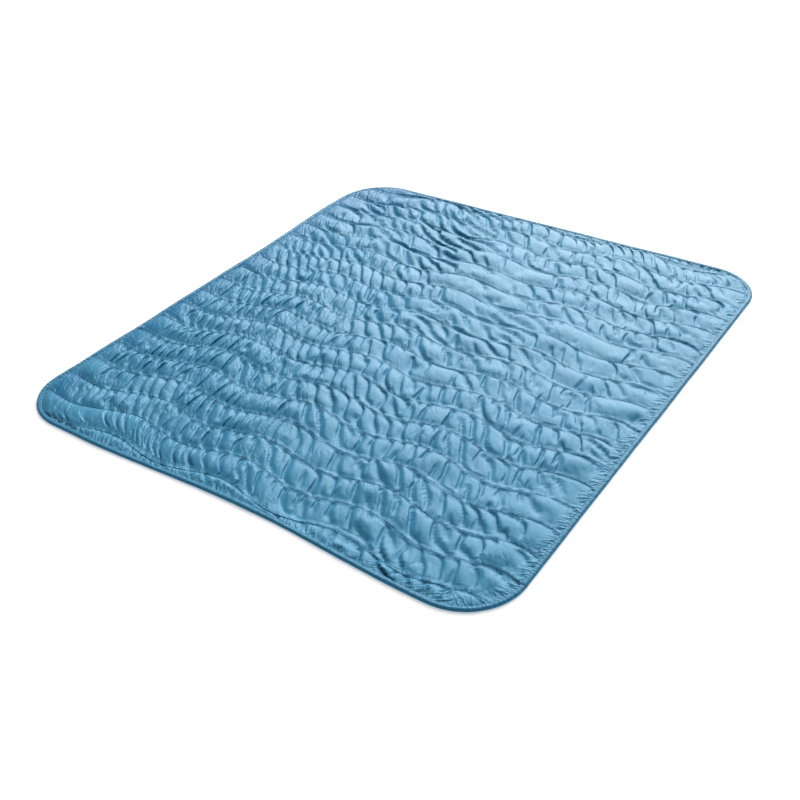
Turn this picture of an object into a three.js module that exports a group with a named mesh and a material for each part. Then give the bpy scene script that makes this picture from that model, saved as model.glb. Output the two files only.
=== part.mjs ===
// A quilted picnic blanket: one thin filled panel with wavy sewn channels, and a narrow tape folded round its rim.
// Millimetres, +Z up. The blanket lies spread out, with its underside on the plane z = 0.
// Its shorter edges and its seams run along X, its longer edges along Y. "Near" is the -Y edge, "far" the +Y edge.
// u and v are a point's place on the cloth as it was cut, x and y are where that point lies.

import * as THREE from "three";

// The blanket as it was cut, binding included
const BLANKET_WIDTH = 1300;
const BLANKET_LENGTH = 1500;
const CORNER_RADIUS = 140;

// How far the edges lie from those of a true rectangle. Shifts are along +Y, and the swell is along -X.
const NEAR_EDGE = { shift: -7, slope: -6, bow: 19, bowAt: 45, bowReach: 450 };
const FAR_EDGE = { shift: -4, slope: 15 };
const LEFT_EDGE = { swell: 10, swellAt: 480, swellReach: 300 };

// The seams, counted from the far edge (-LAST_SEAM) to the near edge (LAST_SEAM), and seam 0 in the middle
const LAST_SEAM = 9;
const SEAM_PITCH = 79.1;
const SEAM_PITCH_GROWTH = 0.1;
const MIDDLE_SEAM_Y = 13.5;
const WAVE_LENGTH = 318;
const WAVE_HEIGHT = 14.8;
const WAVE_CREST_X = 270;
// The seams bend down towards the left side, and fan out a little towards the right one
const SEAM_DRIFT = { slope: 13.8, bend: -19.4, twist: 5, fan: -0.47, per: 600 };

// Heights above the ground
const SEAM_HEIGHT = 5;
const CHANNEL_CREST = 13.5;
const RIM_TOP = 4.3;
const RIM_BOTTOM = 1.3;

// The rim is the thin flat band that the binding folds round. The channels rise over RIM_RISE inside it.
const RIM_BAND = 14;
const RIM_RISE = 40;
const RIM_UNDERCUT = 2;

// The channels are not filled evenly: their crests swell and thin out over these lengths
const FILL_WAVES = [
  { length: 212, share: 0.12, stepPerChannel: 83 },
  { length: 127, share: 0.1, stepPerChannel: 51 },
];

// The binding tape and its clearances to the panel
const TAPE_THICKNESS = 1;
const TAPE_COVER = 12;
const TAPE_WALL = 1.4;
const TAPE_GAP = 0.3;
const TAPE_WALL_GAP = 0.6;
const TAPE_ROUNDING = 1.1;

// How finely the surfaces are divided
const ROWS_PER_CHANNEL = 4;
const COLUMNS = 50;
const COLUMN_CROWDING = 0.05;
const ROW_MIN_STEP = 3;
const EDGE_ROW_SHARES = [0.45, 0.8, 0.95, 1];
const TAPE_CORNER_STEPS = 16;
const TAPE_SIDE_STEP = 50;

// The panel's own outline, and the inner outline where its rim band starts
const PANEL = roundedOutline(TAPE_WALL + TAPE_WALL_GAP);
const FIELD = roundedOutline(TAPE_WALL + TAPE_WALL_GAP + RIM_BAND);

// The blanket's outline moved inwards by an inset: half sizes, corner radius and the corners' centres
function roundedOutline(inset) {
  return {
    halfWidth: BLANKET_WIDTH / 2 - inset,
    halfLength: BLANKET_LENGTH / 2 - inset,
    radius: CORNER_RADIUS - inset,
    centreU: BLANKET_WIDTH / 2 - CORNER_RADIUS,
    centreV: BLANKET_LENGTH / 2 - CORNER_RADIUS,
  };
}

// 1 in the middle, falling smoothly to 0 at the reach
function hump(distance, reach) {
  const share = Math.min(Math.abs(distance) / reach, 1);
  return Math.cos((Math.PI / 2) * share) ** 2;
}

function smoothStep(share) {
  const s = THREE.MathUtils.clamp(share, 0, 1);
  return s * s * (3 - 2 * s);
}

// The edges' shifts at a place along them
function edgeShifts(u) {
  const side = u / (BLANKET_WIDTH / 2);
  const near = NEAR_EDGE.shift + NEAR_EDGE.slope * side + NEAR_EDGE.bow * hump(u - NEAR_EDGE.bowAt, NEAR_EDGE.bowReach);
  const far = FAR_EDGE.shift + FAR_EDGE.slope * side;
  return { near, far };
}

// Where a point of the cut cloth lies
function layOut(u, v) {
  const { near, far } = edgeShifts(u);
  const acrossWidth = u / BLANKET_WIDTH + 0.5;
  const acrossLength = v / BLANKET_LENGTH + 0.5;
  const left = -LEFT_EDGE.swell * hump(v - LEFT_EDGE.swellAt, LEFT_EDGE.swellReach);
  return [u + left * (1 - acrossWidth), v + near * (1 - acrossLength) + far * acrossLength];
}

// The v that lies at a given y, the inverse of layOut along the length
function clothV(u, y) {
  const { near, far } = edgeShifts(u);
  return (y - (near + far) / 2) / (1 + (far - near) / BLANKET_LENGTH);
}

// Where a seam lies. A number between two whole ones is a line between two seams.
function seamY(seam, x) {
  const t = x / SEAM_DRIFT.per;
  const drift = SEAM_DRIFT.slope * t + SEAM_DRIFT.bend * t ** 2 + SEAM_DRIFT.twist * t ** 3 + SEAM_DRIFT.fan * seam * t;
  const wave = WAVE_HEIGHT * Math.cos((2 * Math.PI * (x - WAVE_CREST_X)) / WAVE_LENGTH);
  return MIDDLE_SEAM_Y - SEAM_PITCH * seam - SEAM_PITCH_GROWTH * seam ** 2 + drift + wave;
}

// How far a point of the cloth is inside an outline, measured square to it
function depthInside(outline, u, v) {
  const du = Math.abs(u) - outline.centreU;
  const dv = Math.abs(v) - outline.centreV;
  const outside = Math.hypot(Math.max(du, 0), Math.max(dv, 0));
  return outline.radius - outside - Math.min(Math.max(du, dv), 0);
}

// The point at an offset outwards from a point on an outline, square to it
function offsetPoint(outline, u, v, offset) {
  const fromU = THREE.MathUtils.clamp(u, -outline.centreU, outline.centreU);
  const fromV = THREE.MathUtils.clamp(v, -outline.centreV, outline.centreV);
  const reach = Math.hypot(u - fromU, v - fromV);
  return [u + ((u - fromU) / reach) * offset, v + ((v - fromV) / reach) * offset];
}

// Height of the quilted top: a valley at each seam, a round crest between, and a fall to the rim
function topHeight(seam, u, v) {
  const channel = Math.floor(seam);
  let fill = 1;
  for (const wave of FILL_WAVES) {
    fill += wave.share * Math.sin((2 * Math.PI * (u + wave.stepPerChannel * channel)) / wave.length);
  }
  const acrossChannel = seam - channel;
  const crown = Math.sin(Math.PI * acrossChannel) ** 0.75;
  const full = SEAM_HEIGHT + (CHANNEL_CREST - SEAM_HEIGHT) * fill * crown;
  return RIM_TOP + (full - RIM_TOP) * smoothStep(depthInside(FIELD, u, v) / RIM_RISE);
}

// The rows of the top's net, from the far rim to the near one. Rows with side 0 follow the seams and the lines
// between them. The others lie between an outermost seam and the rim, at a share of the way.
function fieldRows() {
  const rows = [];
  for (const share of [...EDGE_ROW_SHARES].reverse()) {
    rows.push({ side: -1, share, seam: -LAST_SEAM });
  }
  for (let step = -LAST_SEAM * ROWS_PER_CHANNEL; step <= LAST_SEAM * ROWS_PER_CHANNEL; step += 1) {
    rows.push({ side: 0, share: 0, seam: step / ROWS_PER_CHANNEL });
  }
  for (const share of EDGE_ROW_SHARES) {
    rows.push({ side: 1, share, seam: LAST_SEAM });
  }
  return rows;
}

// The v of a row at a place across the width. Where a seam runs into the rim, the rows squeeze together there
// and stay ROW_MIN_STEP apart.
function rowV(rows, index, u) {
  const row = rows[index];
  const seamV = (seamIndex) => {
    const farthest = FIELD.halfLength - ROW_MIN_STEP * seamIndex;
    const nearest = -FIELD.halfLength + ROW_MIN_STEP * (rows.length - 1 - seamIndex);
    return THREE.MathUtils.clamp(clothV(u, seamY(row.seam, u)), nearest, farthest);
  };
  if (row.side === 0) {
    return seamV(index);
  }
  const outermostSeamIndex = row.side < 0 ? EDGE_ROW_SHARES.length : rows.length - 1 - EDGE_ROW_SHARES.length;
  const rimV = -row.side * FIELD.halfLength;
  return THREE.MathUtils.lerp(seamV(outermostSeamIndex), rimV, row.share);
}

// Where a row meets the field's outline on one side (-1 left, 1 right), by halving the span
function rowEnd(rows, index, side) {
  let inside = 0;
  let outside = FIELD.halfWidth + 1;
  for (let halving = 0; halving < 40; halving += 1) {
    const middle = (inside + outside) / 2;
    if (depthInside(FIELD, side * middle, rowV(rows, index, side * middle)) > 0) {
      inside = middle;
    } else {
      outside = middle;
    }
  }
  return side * inside;
}

// A row's points, crowded a little towards its ends, where the channels fall to the rim
function rowPoints(rows, index) {
  const isEdgeRow = rows[index].share === 1;
  const left = isEdgeRow ? -FIELD.centreU : rowEnd(rows, index, -1);
  const right = isEdgeRow ? FIELD.centreU : rowEnd(rows, index, 1);
  const points = [];
  for (let column = 0; column <= COLUMNS; column += 1) {
    const even = column / COLUMNS;
    const u = THREE.MathUtils.lerp(left, right, even - COLUMN_CROWDING * Math.sin(2 * Math.PI * even));
    const v = rowV(rows, index, u);
    const onRim = isEdgeRow || column === 0 || column === COLUMNS;
    const seam = rows[index].seam + rows[index].side * rows[index].share;
    points.push({ u, v, z: onRim ? RIM_TOP : topHeight(seam, u, v) });
  }
  return points;
}

// The point at an offset outwards from the field's outline
function rimPoint(point, offset, z) {
  const [u, v] = offsetPoint(FIELD, point.u, point.v, offset);
  return { u, v, z };
}

function vertexArray(points) {
  return new Float32Array(points.flatMap(({ u, v, z }) => [...layOut(u, v), z]));
}

function solidFrom(points, faces) {
  const geometry = new THREE.BufferGeometry();
  geometry.setAttribute("position", new THREE.BufferAttribute(vertexArray(points), 3));
  geometry.setIndex(faces.flat());
  geometry.computeVertexNormals();
  return geometry;
}

// Two triangles between four points that go round anticlockwise as seen from outside
function quad(a, b, c, d) {
  return [
    [a, b, c],
    [a, c, d],
  ];
}

// The filled panel: its quilted top, its thin rim, and its flat underside
function panelGeometry() {
  const rows = fieldRows();
  const grid = rows.map((row, index) => rowPoints(rows, index));
  const points = grid.flat();
  const faces = [];
  const at = (row, column) => row * (COLUMNS + 1) + column;
  for (let row = 0; row + 1 < rows.length; row += 1) {
    for (let column = 0; column < COLUMNS; column += 1) {
      faces.push(...quad(at(row + 1, column), at(row + 1, column + 1), at(row, column + 1), at(row, column)));
    }
  }

  // The top's edge, anticlockwise from the near left corner
  const lastRow = rows.length - 1;
  const edge = [];
  for (let column = 0; column < COLUMNS; column += 1) edge.push(at(lastRow, column));
  for (let row = lastRow; row > 0; row -= 1) edge.push(at(row, COLUMNS));
  for (let column = COLUMNS; column > 0; column -= 1) edge.push(at(0, column));
  for (let row = 0; row < lastRow; row += 1) edge.push(at(row, 0));

  const rimSection = [
    { offset: RIM_BAND, z: RIM_TOP },
    { offset: RIM_BAND, z: RIM_BOTTOM },
    { offset: 0, z: RIM_BOTTOM },
    { offset: -RIM_UNDERCUT, z: 0 },
  ];
  let upper = edge;
  for (const { offset, z } of rimSection) {
    const lower = edge.map((index, place) => points.length + place);
    points.push(...edge.map((index) => rimPoint(points[index], offset, z)));
    for (let place = 0; place < edge.length; place += 1) {
      const next = (place + 1) % edge.length;
      faces.push(...quad(upper[place], lower[place], lower[next], upper[next]));
    }
    upper = lower;
  }

  const underside = upper.map((index) => new THREE.Vector2(...layOut(points[index].u, points[index].v)));
  for (const [a, b, c] of THREE.ShapeUtils.triangulateShape(underside, [])) {
    faces.push([upper[a], upper[c], upper[b]]);
  }
  return solidFrom(points, faces);
}

// Points on the panel's outline, anticlockwise from the near end of the right side
function outlineStations(outline) {
  const stations = [];
  const corners = [
    { signU: 1, signV: 1, start: 0, side: 2 * outline.centreV, alongU: 0, alongV: -1 },
    { signU: -1, signV: 1, start: 90, side: 2 * outline.centreU, alongU: 1, alongV: 0 },
    { signU: -1, signV: -1, start: 180, side: 2 * outline.centreV, alongU: 0, alongV: 1 },
    { signU: 1, signV: -1, start: 270, side: 2 * outline.centreU, alongU: -1, alongV: 0 },
  ];
  for (const corner of corners) {
    const centreU = corner.signU * outline.centreU;
    const centreV = corner.signV * outline.centreV;
    const arcPoint = (degrees) => {
      const angle = THREE.MathUtils.degToRad(degrees);
      return { u: centreU + outline.radius * Math.cos(angle), v: centreV + outline.radius * Math.sin(angle) };
    };
    const arcStart = arcPoint(corner.start);
    const sideSteps = Math.ceil(corner.side / TAPE_SIDE_STEP);
    for (let step = sideSteps; step > 0; step -= 1) {
      const back = (corner.side * step) / sideSteps;
      stations.push({ u: arcStart.u + corner.alongU * back, v: arcStart.v + corner.alongV * back });
    }
    for (let step = 0; step < TAPE_CORNER_STEPS; step += 1) {
      stations.push(arcPoint(corner.start + (90 * step) / TAPE_CORNER_STEPS));
    }
  }
  return stations;
}

// The binding: a tape folded over the rim, with one leg above it, one below, and a rounded fold outside
function bindingGeometry() {
  const top = RIM_TOP + TAPE_GAP + TAPE_THICKNESS;
  const outside = TAPE_WALL_GAP + TAPE_WALL;
  const section = [
    { offset: -TAPE_COVER, z: 0 },
    { offset: outside - TAPE_ROUNDING, z: 0 },
    { offset: outside, z: TAPE_ROUNDING },
    { offset: outside, z: top - TAPE_ROUNDING },
    { offset: outside - TAPE_ROUNDING, z: top },
    { offset: -TAPE_COVER, z: top },
    { offset: -TAPE_COVER, z: RIM_TOP + TAPE_GAP },
    { offset: TAPE_WALL_GAP, z: RIM_TOP + TAPE_GAP },
    { offset: TAPE_WALL_GAP, z: RIM_BOTTOM - TAPE_GAP },
    { offset: -TAPE_COVER, z: RIM_BOTTOM - TAPE_GAP },
  ];
  const stations = outlineStations(PANEL);
  const points = [];
  for (const station of stations) {
    for (const { offset, z } of section) {
      const [u, v] = offsetPoint(PANEL, station.u, station.v, offset);
      points.push({ u, v, z });
    }
  }
  const at = (station, corner) => (station % stations.length) * section.length + (corner % section.length);
  const faces = [];
  for (let station = 0; station < stations.length; station += 1) {
    for (let corner = 0; corner < section.length; corner += 1) {
      faces.push(
        ...quad(at(station, corner), at(station + 1, corner), at(station + 1, corner + 1), at(station, corner + 1)),
      );
    }
  }
  return solidFrom(points, faces);
}

const cloth = new THREE.MeshStandardMaterial({ color: 0x74acd0, roughness: 0.5, metalness: 0 });
const tape = new THREE.MeshStandardMaterial({ color: 0x4d8db8, roughness: 0.6, metalness: 0 });

const quilt = new THREE.Mesh(panelGeometry(), cloth);
quilt.name = "quilt";
const binding = new THREE.Mesh(bindingGeometry(), tape);
binding.name = "binding";

const blanket = new THREE.Group();
blanket.add(quilt, binding);

// The origin is the middle of the blanket's underside
const extent = new THREE.Box3().setFromObject(blanket);
const middle = extent.getCenter(new THREE.Vector3());
blanket.position.set(-middle.x, -middle.y, 0);

export default blanket;
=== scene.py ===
# A quilted picnic blanket, spread out on a pale floor. Metres, in the part's own frame, +Z up.
# The face cloth is a net whose rows follow the wavy seams. It is sewn down along them, given more cloth
# than the ground below it has, and left to settle over its wadding, so that it puckers between the seams.

import math

import bpy
import numpy as np
from mathutils import Matrix, Vector


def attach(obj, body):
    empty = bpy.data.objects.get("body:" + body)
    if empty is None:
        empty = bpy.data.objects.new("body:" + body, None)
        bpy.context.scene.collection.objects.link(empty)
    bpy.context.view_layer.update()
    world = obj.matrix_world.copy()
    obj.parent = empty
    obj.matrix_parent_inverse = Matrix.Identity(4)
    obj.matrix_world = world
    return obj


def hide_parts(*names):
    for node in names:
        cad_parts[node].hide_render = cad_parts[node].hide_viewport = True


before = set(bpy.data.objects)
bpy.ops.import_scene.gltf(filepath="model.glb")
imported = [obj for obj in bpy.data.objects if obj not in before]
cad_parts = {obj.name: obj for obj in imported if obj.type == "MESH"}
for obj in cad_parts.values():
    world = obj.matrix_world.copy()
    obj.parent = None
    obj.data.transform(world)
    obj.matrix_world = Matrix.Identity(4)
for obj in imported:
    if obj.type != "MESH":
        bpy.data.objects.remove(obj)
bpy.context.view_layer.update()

MM = 0.001

# Keeps divisors off zero
TINY = 1e-9

# The blanket as it was cut, binding included
BLANKET_WIDTH = 1300 * MM
BLANKET_LENGTH = 1500 * MM
CORNER_RADIUS = 140 * MM

# How far the edges lie from those of a true rectangle. Shifts are along +Y, and the swell is along -X.
NEAR_EDGE = dict(shift=-7 * MM, slope=-6 * MM, bow=19 * MM, bow_at=45 * MM, bow_reach=450 * MM)
FAR_EDGE = dict(shift=-4 * MM, slope=15 * MM)
LEFT_EDGE = dict(swell=10 * MM, swell_at=480 * MM, swell_reach=300 * MM)

# The seams, counted from the far edge (-LAST_SEAM) to the near edge (LAST_SEAM)
LAST_SEAM = 9
SEAM_PITCH = 79.1 * MM
SEAM_PITCH_GROWTH = 0.1 * MM
MIDDLE_SEAM_Y = 13.5 * MM
WAVE_LENGTH = 318 * MM
WAVE_HEIGHT = 14.8 * MM
WAVE_CREST_X = 270 * MM
SEAM_DRIFT = dict(slope=13.8 * MM, bend=-19.4 * MM, twist=5 * MM, fan=-0.47 * MM, per=600 * MM)

# Steps round the outline, for the part's origin and for measuring along the rim
ORIGIN_STATION = 10 * MM
RIM_STATION = 3 * MM

# Heights above the ground
SEAM_HEIGHT = 5 * MM
CHANNEL_CREST = 11.5 * MM
CREST_DROP_RIGHT = 2 * MM
CHANNEL_ROUNDNESS = 0.45
RIM_HEIGHT = 4.6 * MM
BACK_SEAM_LIFT = 1.6 * MM
BACK_RIM_LIFT = 1.5 * MM

# Distances from the rim or from a seam, and how steeply the cloth may rise from the tape
RIM_RISE = 25 * MM
RIM_GATHER_REACH = 32 * MM
RIM_GATHER_SPARE = 10 * MM
TAPE_COVER = 3.5 * MM
CLEAR_OF_TAPE = 12 * MM
SLOPE_FROM_TAPE = 0.8
BACK_SEAM_REACH = 6 * MM
BACK_RIM_REACH = 12 * MM

# The nets of the face cloth and of the back cloth
FIELD_INSET = 9 * MM
FACE_NET = dict(rows_per_channel=12, rim_rows=10, columns=400)
BACK_NET = dict(rows_per_channel=6, rim_rows=5, columns=120)
ROW_MIN_STEP = 1 * MM
ROWS_CROWDED = 0.04
RIM_ROWS_CROWDED = 1.6
COLUMNS_CROWDED = 0.02
HALVINGS = 40

# How the face cloth settles: first on every second column, then on all. The row share is how much of
# the stiffness lies along the rows, and the rest lies down the columns. In each step a point below the
# height of its wadding closes a share of the gap, the push, and a point above it another, the ceiling.
STAGES = (
    dict(
        column_step=2, steps=220, quick_steps=60, bending=0.2, row_share=0.5, crease=0.2 * MM, ceiling=0.02
    ),
    dict(
        column_step=1, steps=200, quick_steps=40, bending=0.3, row_share=0.8, crease=0.05 * MM, ceiling=0.05
    ),
)
WADDING_PUSH = 0.004
DIAGONAL_STIFFNESS = 0.5
LOWEST_SHARE = 0.3
FULL_LENGTH_AT = 0.6
SECOND_STAGE_LENGTH = 0.6
CLOTH_SEED = 4

# How much longer the cloth is than the ground, and shares of that which are added or taken away
EXTRA_CLOTH = 0.11
EXTRA_ALONG_FOLDS = 0.012
EXTRA_ALONG_SPREAD = 0.4
EXTRA_SPREAD = 0.3
EXTRA_LIMITS = (0.3, 2.0)
EXTRA_ON_LEFT = 0.9
LESS_AT_LEFT_MARGIN = 0.85
LESS_AT_RIGHT_MARGIN = 0.45
KEPT_AT_SEAMS = 0.4
ACROSS_CHANNEL_POWER = 0.7
KEPT_AT_RIM = 0.5
FULL_CLOTH_DEPTH = 0.06

# Borders between parts of the cloth: the u or v where the next part starts to come in, and over how far
LOWER_CRESTS = dict(start=-0.2, over=0.6)
PAST_LEFT_MARGIN = dict(start=-0.615, over=0.06, wander=0.025)
RIGHT_MARGIN = dict(start=0.50, over=0.10)
PAST_LEFT_HALF = dict(start=-0.35, over=0.5)
COARSE_FOLDS = dict(start=-0.30, over=0.5)
FAR_FOLDS = dict(start=0.05, over=0.4)

# Which way the folds run, in degrees from the blanket's length
FOLD_WAY = 28
FOLD_WAY_SPREAD = 9
FOLD_WAY_AT_RIGHT_MARGIN = 68
TURNED_FOLDS = (
    # degrees turned, at u, at v, reach in u, reach in v
    (22, -0.45, 0.50, 0.30, 0.30),
    (-16, -0.42, -0.15, 0.28, 0.25),
    (38, 0.08, 0.20, 0.18, 0.22),
    (30, -0.18, 0.48, 0.15, 0.20),
)
CALM_CORNERS = (
    # share taken away, at u, at v, reach in u, reach in v
    (0.85, -0.50, -0.68, 0.20, 0.07),
    (0.85, -0.50, 0.68, 0.22, 0.13),
)
CALM_MIDDLE = (0.35, 0.05, 0.40, 0.35, 0.30)

# Lumps of the wadding, and the ripples that the folds start from
LUMP_HEIGHT = 1.5 * MM
SMALL_LUMP_SHARE = 0.6
RIPPLE_HEIGHT = 0.6 * MM

# Noise patterns: lengths of a cell in u and in v, and how far the cells slant either way
BROAD_NOISE = (0.14, 0.12, 0.0, 0.0)
MIDDLE_NOISE = (0.07, 0.06, 0.0, 0.0)
LUMP_NOISE = (0.055, 0.05, 0.0, 0.0)
SMALL_LUMP_NOISE = (0.03, 0.045, 0.6, 0.3)
RIPPLE_NOISE = (0.012, 0.03, 0.5, 0.5)
LEAN_NOISE = (0.12, 0.08, 0.0, 0.0)
NOISE_SPREAD = 0.75

# Pleats across the channels: distances between them, and how steady they are. The spread of their way is
# in degrees, and its limits are in radians.
PLEAT_GAP_LEFT = 16 * MM
PLEAT_GAP_FAR_LEFT = 12 * MM
PLEAT_GAP_RIGHT = 40 * MM
PLEAT_GAP_SPREAD = 0.55
PLEAT_GAP_LIMITS = (0.45, 2.2)
PLEAT_WAY_SPREAD = 16
PLEAT_WAY_LIMITS = (-0.5, 1.22)
PLEAT_BEND = 5 * MM
PLEAT_DEPTH = 7 * MM
PLEAT_DEPTH_SPREAD = 0.55
PLEAT_WIDTH = 4 * MM
PLEAT_WIDTH_SPREAD = 0.4

# Shares of a pleat's bend, width and depth: on the left, and what coarser folds add
BEND_SHARES = (0.6, 1.0)
WIDTH_SHARES = (0.55, 0.6)
DEPTH_SHARES = (0.6, 0.4)

# The share of pleats that start late, which is also the share that end early, and where they do so
SHORT_PLEATS = 0.33
LATE_TOP = (0.25, 0.6)
EARLY_FOOT = (0.4, 0.75)
PLEAT_FADE = 0.14

# How the folds are made crisp: columns averaged over either way, where a valley's edge lies in its fold,
# how much of the fold is kept above and below that edge, and how far its valley is pushed to one side
FOLD_REACH = 6
VALLEY_LEVEL = 0.35
KEPT_ON_TOP = 0.4
KEPT_BELOW = 2.8
LOWEST_VALLEY = 2.6 * MM
VALLEY_EASE = 2 * MM
FOLD_LEAN = 0.9
LEAN_SHARPNESS = 2

# The tape: distances between its stations, its unevenness, and the parts of its section
TAPE_STATION = 3.2 * MM
TAPE_SEED = 11
TAPE_INSET = 0.4 * MM
TAPE_ROUGH = 0.12 * MM
TAPE_ROUGH_INSIDE = 0.3 * MM
TAPE_WANDER = 0.35 * MM
TAPE_WANDER_INSIDE = 0.4
TAPE_SWELL = 0.25 * MM
TAPE_WANDER_STATIONS = 40
TAPE_TOP = dict(start=2 * MM, over=3 * MM)
TAPE_INNER_PART = 5 * MM
TAPE_SECTION = (
    # offset outwards from the blanket's outline and height, both in millimetres
    (-12.0, 0.0), (-6.0, 0.0), (-1.6, 0.0), (-0.5, 0.5), (0.0, 1.5), (0.0, 2.6), (-0.5, 3.7), (-1.6, 4.7),
    (-3.2, 5.5), (-5.2, 6.1), (-7.2, 6.1), (-8.8, 5.2), (-10.4, 5.5), (-12.4, 5.3),
    (-12.6, 4.6), (-8.8, 4.3), (-3.0, 3.6), (-3.0, 1.6), (-12.0, 1.2),
)

# The camera, worked out from the blanket's four edges in the photograph
CAMERA_AZIMUTH = 34.23
CAMERA_ELEVATION = 35.49
CAMERA_ROLL = -1.14
CAMERA_DISTANCE = 2.566
CAMERA_AIM = (109.5 * MM, -241.8 * MM)
FOCAL_LENGTH_PX = 1092.8
IMAGE_SIZE_PX = 800
SENSOR_MM = 36.0


# Shapes of the cut cloth and where it lies

def rounded_outline(inset):
    """The blanket's outline moved inwards: half sizes, corner radius and the corners' centres."""
    return dict(
        half_width=BLANKET_WIDTH / 2 - inset,
        half_length=BLANKET_LENGTH / 2 - inset,
        radius=CORNER_RADIUS - inset,
        centre_u=BLANKET_WIDTH / 2 - CORNER_RADIUS,
        centre_v=BLANKET_LENGTH / 2 - CORNER_RADIUS,
    )


def hump(distance, reach):
    """1 in the middle, falling smoothly to 0 at the reach."""
    share = np.minimum(np.abs(distance) / reach, 1.0)
    return np.cos(0.5 * np.pi * share) ** 2


def smooth_step(share):
    s = np.clip(share, 0.0, 1.0)
    return s * s * (3 - 2 * s)


def come_in(at, part):
    """0 before a part of the cloth, and 1 once it has come in."""
    return smooth_step((at - part["start"]) / part["over"])


def edge_shifts(u):
    """How far along +Y the near and the far edge lie from those of a true rectangle."""
    side = u / (BLANKET_WIDTH / 2)
    bow = NEAR_EDGE["bow"] * hump(u - NEAR_EDGE["bow_at"], NEAR_EDGE["bow_reach"])
    near = NEAR_EDGE["shift"] + NEAR_EDGE["slope"] * side + bow
    far = FAR_EDGE["shift"] + FAR_EDGE["slope"] * side
    return near, far


def lay_out(u, v):
    """Where a point of the cut cloth lies, before the part's own origin is taken off."""
    near, far = edge_shifts(u)
    across_width = u / BLANKET_WIDTH + 0.5
    across_length = v / BLANKET_LENGTH + 0.5
    left = -LEFT_EDGE["swell"] * hump(v - LEFT_EDGE["swell_at"], LEFT_EDGE["swell_reach"])
    return u + left * (1 - across_width), v + near * (1 - across_length) + far * across_length


def cloth_v(u, y):
    """The v that lies at a given y."""
    near, far = edge_shifts(u)
    return (y - (near + far) / 2) / (1 + (far - near) / BLANKET_LENGTH)


def seam_y(seam, x):
    """Where a seam lies. A number between two whole ones is a line between two seams."""
    t = x / SEAM_DRIFT["per"]
    drift = SEAM_DRIFT["slope"] * t + SEAM_DRIFT["bend"] * t**2 + SEAM_DRIFT["twist"] * t**3
    fan = SEAM_DRIFT["fan"] * seam * t
    wave = WAVE_HEIGHT * np.cos(2 * np.pi * (x - WAVE_CREST_X) / WAVE_LENGTH)
    return MIDDLE_SEAM_Y - SEAM_PITCH * seam - SEAM_PITCH_GROWTH * seam**2 + drift + fan + wave


def depth_inside(outline, u, v):
    """How far a point of the cloth is inside an outline, square to it."""
    du = np.abs(u) - outline["centre_u"]
    dv = np.abs(v) - outline["centre_v"]
    outside = np.hypot(np.maximum(du, 0), np.maximum(dv, 0))
    return outline["radius"] - outside - np.minimum(np.maximum(du, dv), 0)


def outline_stations(outline, step):
    """Points about one step apart round an outline, anticlockwise, with the outward direction at each."""
    points, normals = [], []
    side_v, side_u = 2 * outline["centre_v"], 2 * outline["centre_u"]
    corners = ((1, 1, 0, side_v), (-1, 1, 90, side_u), (-1, -1, 180, side_v), (1, -1, 270, side_u))
    for sign_u, sign_v, start, side in corners:
        centre = np.array([sign_u * outline["centre_u"], sign_v * outline["centre_v"]])
        first = math.radians(start)
        outward = np.array([math.cos(first), math.sin(first)])
        forward = np.array([-outward[1], outward[0]])
        steps = round(side / step)
        for k in range(steps):
            points.append(centre + outline["radius"] * outward - forward * side * (1 - k / steps))
            normals.append(outward)
        steps = round(outline["radius"] * math.pi / 2 / step)
        for k in range(steps):
            angle = first + math.pi / 2 * k / steps
            direction = np.array([math.cos(angle), math.sin(angle)])
            points.append(centre + outline["radius"] * direction)
            normals.append(direction)
    return np.array(points), np.array(normals)


def part_origin():
    """The middle of the blanket's own box, which is the part's origin."""
    points, _ = outline_stations(rounded_outline(0), ORIGIN_STATION)
    x, y = lay_out(points[:, 0], points[:, 1])
    return (x.min() + x.max()) / 2, (y.min() + y.max()) / 2


ORIGIN_X, ORIGIN_Y = part_origin()
FIELD = rounded_outline(FIELD_INSET)


def place(u, v):
    """Where a point of the cut cloth lies in the part's frame."""
    x, y = lay_out(u, v)
    return x - ORIGIN_X, y - ORIGIN_Y


# The net of the quilted field

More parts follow.
